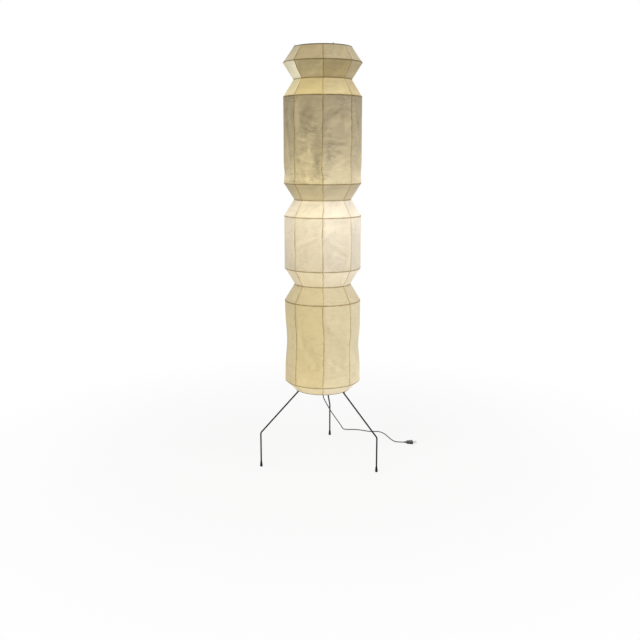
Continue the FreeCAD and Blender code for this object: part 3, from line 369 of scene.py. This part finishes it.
# Columns lie close by the seams, where one gore laps over the next, and wider in the middle of a gore.
half_gore = [0.0, 0.35, 0.95, 2.2, 3.8, 5.6, 7.4, 9.3, 11.2, 13.1, 15.0, 16.9, 18.8, 20.7, half_turn]
turns = []
for gore in range(8):
    seam = seam_turn + gore * gore_turn
    turns += [seam + step for step in half_gore]
    turns += [seam + gore_turn - step for step in half_gore[-2:0:-1]]
columns = len(turns)
per_gore = columns // 8

# The paper's rims stand off the hoops far enough to clear their wire on the steeper side.
hoops = []
for number in range(1, 13):
    low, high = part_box(f"hoop_{number:02d}")
    hoops.append((high[0] - (high[2] - low[2]) / 2, (high[2] + low[2]) / 2))
slopes = [abs(a[0] - b[0]) / (a[1] - b[1]) for a, b in zip(hoops, hoops[1:])]
rims = []
for number, (reach, level) in enumerate(hoops):
    steepest = max(slopes[max(number - 1, 0):number + 1])
    rims.append((reach + paper_stand_off * math.hypot(1.0, steepest), level))


def ease(value, low, high):
    """0 below low, 1 above high, and a smooth step between."""
    share = min(max((value - low) / (high - low), 0.0), 1.0)
    return share * share * (3.0 - 2.0 * share)


def turned_from(turn, azimuth):
    """The turn from an azimuth, between -180 and 180 degrees."""
    return (turn - azimuth + 180.0) % 360.0 - 180.0


def unrolled(turn, level):
    """A place on the lantern's side, laid flat from the back seam round."""
    return Vector((math.radians((turn - 90.0) % 360.0) * paper_radius, level))


# The crumples' drift takes its offsets from this seed. Without one they come from the clock.
noise.seed_set(7)


def crumple(place, sheet):
    """Height of a crumpled sheet, about -0.5 to 0.5: sharp folds that wander, large and small."""
    spot = Vector(place) + Vector((0.0, 0.0, sheet * 0.37))
    drift = noise.noise_vector(spot * 7.0) * 0.03
    wide = noise.turbulence((spot + drift) * 8.0, 2, True, noise_basis="PERLIN_NEW")
    fine = noise.turbulence((spot + drift * 0.5) * 24.0, 3, True, noise_basis="PERLIN_NEW")
    usual = 0.42
    return 1.1 * (wide - usual) + 0.5 * (fine - usual)


def crease(turn, level):
    """How far the long folds lift the paper. Each is a tent along its line, with a ragged ridge."""
    here = unrolled(turn, level)
    lift = 0.0
    for turn_a, level_a, turn_b, level_b, tall, wide in long_folds:
        start = unrolled(turn_a, level_a)
        run = unrolled(turn_b, level_b) - start
        along = (here - start).dot(run) / run.length_squared
        if -fold_overrun < along < 1.0 + fold_overrun:
            ragged = min(0.010, 0.4 * wide) * noise.noise((here.x * 28.0, level * 28.0, turn_a))
            away = abs((here - start).cross(run) / run.length + ragged)
            inside = 0.5 + fold_overrun - abs(along - 0.5)
            lift += tall * max(1.0 - away / wide, 0.0) * ease(inside, 0.0, 0.35)
    return lift


def slackness(turn, level):
    """How deep the slack places are dented."""
    deep_here = 0.0
    for azimuth, height, wide, tall, deep in dents:
        round_to = turned_from(turn, azimuth)
        deep_here += deep * math.exp(-(round_to / wide) ** 2 - ((level - height) / tall) ** 2)
    return deep_here


def seam_drift(turn, level, edge):
    """How far a seam strays to one side between two hoops, in degrees, and the paper with it."""
    nearest = math.floor((turn - seam_turn) / gore_turn + 0.5)
    across = abs(turn - seam_turn - nearest * gore_turn)
    stray = noise.noise((level * 7.0, (nearest % 8) * 3.1 + 0.5, 1.7))
    return seam_stray * stray * ease(edge, 0.0, 0.07) * (1.0 - across / half_turn)


def paper_offset(turn, level, down, long, sag, depth):
    """How far the paper stands out from the straight line between its hoops."""
    gore = math.floor((turn - seam_turn) / gore_turn)
    across = min((turn - seam_turn) % gore_turn, -(turn - seam_turn) % gore_turn)
    edge = min(down, long - down)
    free = ease(edge, 0.002, 0.03)
    middle = 1.0 - (1.0 - across / half_turn) ** 2
    dip = sag * math.sin(math.pi * min(max(down / long, 0.0), 1.0)) ** 0.6 * middle
    angle = math.radians(turn)
    folds = crumple((crumple_radius * math.cos(angle), crumple_radius * math.sin(angle), level), gore % 8)
    held = (0.25 + 0.75 * ease(across, 0.3, 5.0)) * ease(edge, 0.0015, 0.016)
    ridge = seam_ridge * (1.0 - ease(across, 0.3, 1.1)) + seam_ridge * (1.0 - ease(edge, 0.001, 0.003))
    creases = crease(turn, level) * (free * ease(across, -3.0, 14.0))
    return folds * depth * held + creases - (dip + slackness(turn, level)) * free + ridge


# The paper's surface: its own clouds, pulp and fibres, painted shade on the facets and thin folds of the
# crumpled sheet, and the hoops' and strings' painted shadows as darker lines, with the laps over them,
# where the doubled paper lets less light through, painted a little darker, at their distances in the map
# "ribs".
pasted_paper, tree, skin = blank_finish("pasted_paper")
skin.inputs["Roughness"].default_value = 0.82
skin.inputs["Specular IOR Level"].default_value = 0.2
skin.inputs["Emission Strength"].default_value = 1.0
place = put(tree, "TexCoord").outputs["Object"]
bend = put(tree, "TexNoise", {"Vector": place, "Scale": 10.0, "Detail": 1.0}).outputs["Color"]
bent = put(tree, "VectorMath", {0: bend, 1: (0.03, 0.03, 0.03)}, operation="MULTIPLY").outputs[0]
moved = put(tree, "VectorMath", {0: place, 1: bent}, operation="ADD").outputs[0]
stretched = put(tree, "Mapping", {"Vector": moved, "Rotation": (0.0, 0.6, 0.0),
                                  "Scale": (0.7, 0.7, 1.9)}).outputs[0]
body_colour = put(tree, "Attribute", attribute_name="paper_tint").outputs
glow_colour = put(tree, "Attribute", attribute_name="glow").outputs
wrinkles = body_colour["Alpha"]


def fold_lines(per_metre, sharp):
    """1 along thin wandering folds of the sheet and 0 between them."""
    apart = maths(tree, "ABSOLUTE", maths(tree, "SUBTRACT", mottle(tree, stretched, per_metre, 2.0), 0.5))
    return ranged(tree, apart, 0.0, sharp, 1.0, 0.0, interpolation_type="SMOOTHSTEP")


def facet_shade(per_metre):
    """A painted shade, lighter or darker, for each facet of the crumpled sheet, as if it leaned to the
    light.
    """
    cells = put(tree, "TexVoronoi", {"Vector": stretched, "Scale": per_metre, "Randomness": 1.0})
    return put(tree, "SeparateXYZ", {0: cells.outputs["Color"]}).outputs[0]


fold_wide = fold_lines(9.0, 0.022)
fold_fine = fold_lines(30.0, 0.050)
facets = maths(tree, "ADD", facet_shade(15.0), facet_shade(46.0))
faceted = maths(tree, "MULTIPLY_ADD", ranged(tree, facets, 0.2, 1.8, -0.07, 0.07), wrinkles, 1.0)
pulp = mottle(tree, place, 210.0, 4.0, roughness=0.7)
clouded = ranged(tree, mottle(tree, moved, 16.0, 6.0, roughness=0.66), 0.3, 0.7, 0.95, 1.05)
pulped = ranged(tree, pulp, 0.3, 0.7, 0.965, 1.03)
long_way = put(tree, "VectorMath", {0: moved, 1: (900.0, 900.0, 120.0)}, operation="MULTIPLY").outputs[0]
fibred = ranged(tree, mottle(tree, long_way, 1.0, 3.0, distortion=1.2), 0.30, 0.42, 0.94, 1.0)

ribs = put(tree, "SeparateXYZ", {0: put(tree, "UVMap", uv_map="ribs").outputs["UV"]}).outputs
wander = ranged(tree, mottle(tree, place, 34.0, 3.0), 0.3, 0.7, -0.0022, 0.0022)
seam_at = maths(tree, "ADD", ribs["X"], wander)
from_hoop = maths(tree, "MULTIPLY_ADD", wander, 0.35, ribs["Y"])
strong = ranged(tree, mottle(tree, place, 13.0, 3.0), 0.35, 0.62, 0.32, 0.95)
# Painted shadows: the hoops and strings darken the paper in thin brown lines, and the laps of doubled
# paper beside them are a little darker and yellower for the light they hold back.
seam_shadow = ranged(tree, maths(tree, "ABSOLUTE", seam_at), 0.0008, 0.0036, 1.0, 0.0)
hoop_shadow = ranged(tree, from_hoop, 0.0012, 0.0040, 1.0, 0.0)
wire_shadow = maths(tree, "MAXIMUM", maths(tree, "MULTIPLY", seam_shadow, strong), hoop_shadow)
wire_shadowed = mixed(tree, wire_shadow, (1, 1, 1, 1), (0.52, 0.45, 0.34, 1))
off_lap = maths(tree, "MAXIMUM", ranged(tree, seam_at, 0.0075, 0.0080),
                ranged(tree, seam_at, -0.0005, 0.0, 1.0, 0.0))
lapped = mixed(tree, off_lap, (0.97, 0.93, 0.80, 1), (1, 1, 1, 1))
lapped_hoop = ranged(tree, from_hoop, 0.0062, 0.0068, 0.96, 1.0)

# Painted shade in the folds: the sheet is darker along its creases, wide and fine, most where it is
# wrinkled.
wrinkled = ranged(tree, mottle(tree, place, 7.0, 1.0), 0.44, 0.56, 0.15, 1.2)
wide_dark = maths(tree, "MULTIPLY", maths(tree, "MULTIPLY_ADD", wrinkles, -0.08, -0.04), wrinkled)
fine_dark = maths(tree, "MULTIPLY", maths(tree, "MULTIPLY_ADD", wrinkles, -0.13, -0.01), wrinkled)
tone_and_shade = maths(tree, "MULTIPLY_ADD", fold_wide, wide_dark, 1.0)
tone_and_shade = maths(tree, "MULTIPLY_ADD", fold_fine, fine_dark, tone_and_shade)
for part in (clouded, pulped, fibred, lapped_hoop, faceted):
    tone_and_shade = maths(tree, "MULTIPLY", tone_and_shade, part)
ribbed = put(tree, "VectorMath", {0: wire_shadowed, 1: lapped}, operation="MULTIPLY").outputs[0]
shaded = put(tree, "VectorMath", {0: ribbed, "Scale": tone_and_shade}, operation="SCALE").outputs[0]
body = put(tree, "VectorMath", {0: body_colour["Color"], 1: shaded}, operation="MULTIPLY").outputs[0]
glowing = put(tree, "VectorMath", {0: glow_colour["Color"], 1: shaded}, operation="MULTIPLY").outputs[0]
relief = maths(tree, "MULTIPLY_ADD", fold_fine, 0.5, pulp)
relief = maths(tree, "MULTIPLY_ADD", fold_wide, 0.9, relief)
paper_bump = put(tree, "Bump", {"Height": relief, "Distance": 0.0006, "Strength": 0.7})
tree.links.new(body, skin.inputs["Base Color"])
tree.links.new(glowing, skin.inputs["Emission Color"])
tree.links.new(paper_bump.outputs["Normal"], skin.inputs["Normal"])

# The light in the paper is painted: a glow as from the bulb, more where the sheet leans towards it, and
# painted shade in its colour, paler on the folds that lean to the lamps of the room.
paper_colour = (0.435, 0.358, 0.218)
paler_colour = (0.82, 0.79, 0.62)
paler_glow = 0.12
bulb_level = 1.107
bulb_reach = 0.12
spot_turn, spot_level, spot_wide, spot_tall, spot_glow = 278.0, 1.125, 15.0, 0.050, 0.11
glow_up, glow_left = 1.3, 0.5
shade_up, shade_left = 1.1, 1.3
# Painted shadow of the top and bottom hoops: how far the colour and the glow of the rows over them are
# darkened.
hem_shadow_tint, hem_shadow_glow = 0.45, 0.35


def down_band(lights, share):
    """A smooth run through the three lights at the top, middle and bottom of a band."""
    top, middle, low = lights
    upper = top * (1.0 - share) * (1.0 - 2.0 * share) + middle * 4.0 * share * (1.0 - share)
    return upper + low * share * (2.0 * share - 1.0)


def warm(strength, hue):
    """The glow's colour, yellower as its hue goes up."""
    return (strength, strength * (0.89 - 0.10 * hue), strength * (0.66 - 0.42 * hue), 1.0)


def own_colour(hue):
    """The paper's own colour, yellower as its hue goes up."""
    red, green, blue = paper_colour
    return Vector((red, green * (1.0 - 0.06 * hue), blue * (1.0 - 0.25 * hue)))


string_paths = [[] for _ in range(8)]
for number, (sag, depth, wrinkling, lights, body_hue, glow_hue) in enumerate(band_makes, 1):
    (reach_top, level_top), (reach_low, level_low) = rims[number - 1], rims[number]
    fall, spread = level_top - level_low, reach_low - reach_top
    long = math.hypot(fall, spread)
    outward = Vector((fall / long, spread / long))
    inner_long = long - 2 * rim_room
    inner = max(1, round(inner_long / row_gap))
    downs = rim_steps + [rim_room + inner_long * i / inner for i in range(inner + 1)]
    downs += [long - step for step in reversed(rim_steps)]
    levels = [level_top - fall * down / long for down in downs]
    outs = [[paper_offset(turn, level, down, long, sag, depth) for turn in turns]
            for level, down in zip(levels, downs)]
    mesh = bmesh.new()
    glow_layer = mesh.verts.layers.float_color.new("glow")
    tint_layer = mesh.verts.layers.float_color.new("paper_tint")
    rows = []
    for i, (level, down) in enumerate(zip(levels, downs)):
        share = down / long
        over, under = max(i - 1, 0), min(i + 1, len(downs) - 1)
        row = []
        for j, turn in enumerate(turns):
            out = outs[i][j]
            reach = reach_top + spread * share + out * outward.x
            height = level + out * outward.y
            angle = math.radians(turn + seam_drift(turn, level, min(down, long - down)))
            vert = mesh.verts.new((reach * math.cos(angle), reach * math.sin(angle), height))
            gore = j // per_gore
            painted_gore_light, yellow = gore_makes[gore]
            pale = paler_gores.get((number, gore), 0.0)
            tips_up = (outs[under][j] - outs[over][j]) / (downs[under] - downs[over])
            after, before = (j + 1) % columns, j - 1
            apart = math.radians((turns[after] - turns[before]) % 360.0) * reach
            tips_left = (outs[i][after] - outs[i][before]) / apart
            # Painted glow for the bulb's light through the paper: by band and gore, more on folds that
            # lean to the bulb, with a painted hot spot beside it.
            to_bulb = max(min((height - bulb_level) / bulb_reach, 1.0), -1.0)
            near = math.exp(-(turned_from(turn, spot_turn) / spot_wide) ** 2
                            - ((level - spot_level) / spot_tall) ** 2)
            lit = down_band(lights, share) * (1.0 + painted_gore_light)
            lit = lit * (1.0 + glow_up * to_bulb * tips_up + glow_left * tips_left) + spot_glow * near
            lit += paler_glow * pale
            vert[glow_layer] = warm(max(lit, 0.0), glow_hue + yellow * (1.0 - near))
            # Painted shade in the paper's colour: lighter or darker by gore, and paler on folds that lean
            # towards the room's lamps.
            painted_shade = (1.0 + painted_gore_light) * (1.0 + shade_up * tips_up + shade_left * tips_left)
            shade = own_colour(body_hue + yellow).lerp(Vector(paler_colour), pale) * painted_shade
            vert[tint_layer] = (*shade, wrinkling)
            row.append(vert)
            if j % per_gore == 0:
                inside = reach - string_depth * outward.x
                string_paths[gore].append((inside * math.cos(angle), inside * math.sin(angle),
                                           height - string_depth * outward.y))
        rows.append(row)
    # The rows over the top hoop and the bottom hoop are painted darker, colour and glow, for the hoop's
    # shadow, and keep no wrinkles.
    hem_rows = {1: rows[:len(rim_steps)], 11: rows[-len(rim_steps):]}.get(number, [])
    for vert in [vert for row in hem_rows for vert in row]:
        vert[tint_layer] = (*(hem_shadow_tint * value for value in vert[tint_layer][:3]), 0.0)
        vert[glow_layer] = (*(hem_shadow_glow * value for value in vert[glow_layer][:3]), 1.0)
    rib_layer = mesh.loops.layers.uv.new("ribs")
    for upper, lower, down_a, down_b in zip(rows, rows[1:], downs, downs[1:]):
        for i in range(columns):
            j = (i + 1) % columns
            face = mesh.faces.new((upper[i], lower[i], lower[j], upper[j]))
            face.smooth = True
            before_middle = i % per_gore < per_gore // 2
            for loop, column, down in zip(face.loops, (i, i, j, j), (down_a, down_b, down_b, down_a)):
                step = (turns[column] - seam_turn) % gore_turn
                if not before_middle:
                    step = step - gore_turn if step > 0.0 else 0.0
                loop[rib_layer].uv = (math.radians(step) * paper_radius, min(down, long - down))
    data = bpy.data.meshes.new(f"paper_sheet_{number:02d}")
    mesh.to_mesh(data)
    mesh.free()
    data.materials.append(pasted_paper)
    band = in_scene(f"paper_sheet_{number:02d}", data)
    thicken = band.modifiers.new("thickness", "SOLIDIFY")
    thicken.thickness = paper_thick
    thicken.offset = -1.0
    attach(band, "lantern")
    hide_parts(f"paper_band_{number:02d}")


# The strings: eight cotton threads run from the top hoop to the bottom one, knotted round each hoop,
# and hold the hoops apart. The gores of paper meet over them.
string_cotton = handled_finish("string_cotton", (0.42, 0.34, 0.20), (0.30, 0.24, 0.14),
                               patches=300.0, dust=0.1, grains=2600.0, rough=(0.8, 0.95), relief=0.0002)
string_thick = 0.001
thread = bpy.data.curves.new("binding_strings", "CURVE")
thread.dimensions = "3D"
thread.bevel_depth = string_thick / 2
thread.bevel_resolution = 2
for path in string_paths:
    run = thread.splines.new("POLY")
    run.points.add(len(path) - 1)
    for point, spot in zip(run.points, path):
        point.co = (*spot, 1.0)
binding = in_scene("binding_strings", thread)
thread.materials.append(string_cotton)
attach(binding, "lantern")
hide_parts("strings")


# The studio: a plain pale floor that runs out into white, a white room, and two large soft lamps. The
# floor keeps the shadow of the lamp around its feet.
def directly_seen(tree):
    """1 for what is seen, also in gloss or through glass, and 0 for the light that it gives."""
    rays = put(tree, "LightPath").outputs
    seen = maths(tree, "MAXIMUM", rays["Is Camera Ray"], rays["Is Glossy Ray"])
    return maths(tree, "MAXIMUM", seen, rays["Is Transmission Ray"])


floor_mesh = bmesh.new()
bmesh.ops.create_circle(floor_mesh, cap_ends=True, segments=96, radius=9.0)
floor_data = bpy.data.meshes.new("floor")
floor_mesh.to_mesh(floor_data)
floor_mesh.free()
floor = in_scene("floor", floor_data)
floor_paint, tree, matt = blank_finish("floor_paint")
matt.inputs["Base Color"].default_value = (0.90, 0.90, 0.90, 1)
matt.inputs["Roughness"].default_value = 0.9
matt.inputs["Specular IOR Level"].default_value = 0.1
far = put(tree, "VectorMath", {0: put(tree, "TexCoord").outputs["Object"]}, operation="LENGTH")
away = ranged(tree, far.outputs["Value"], 0.5, 2.2, 0.80, 1.0, interpolation_type="SMOOTHSTEP")
white_share = maths(tree, "MULTIPLY", directly_seen(tree), away)
white = put(tree, "Emission", {"Color": (1, 1, 1, 1), "Strength": 1.0})
both = put(tree, "MixShader", {0: white_share, 1: matt.outputs["BSDF"], 2: white.outputs["Emission"]})
tree.links.new(both.outputs[0], tree.nodes["Material Output"].inputs["Surface"])
floor_data.materials.append(floor_paint)

room_light = 0.62
room = bpy.data.worlds.new("room")
bpy.context.scene.world = room
room.use_nodes = True
tree = room.node_tree
back = tree.nodes["Background"]
back.inputs["Color"].default_value = (1, 1, 1, 1)
tree.links.new(ranged(tree, directly_seen(tree), 0.0, 1.0, room_light, 1.0), back.inputs["Strength"])

lamps_aim = Vector((0.0, 0.0, 0.9))
for name, spot, size, power in (("lamp_left", (-2.4, -2.6, 3.4), 3.0, 46.0),
                                ("lamp_right", (2.6, -1.6, 3.0), 3.0, 30.0)):
    soft = bpy.data.lights.new(name, "AREA")
    soft.size = size
    soft.energy = power
    lamp = in_scene(name, soft)
    lamp.location = spot
    lamp.rotation_euler = (lamps_aim - Vector(spot)).to_track_quat("-Z", "Y").to_euler()

bpy.context.scene.view_settings.view_transform = "Standard"
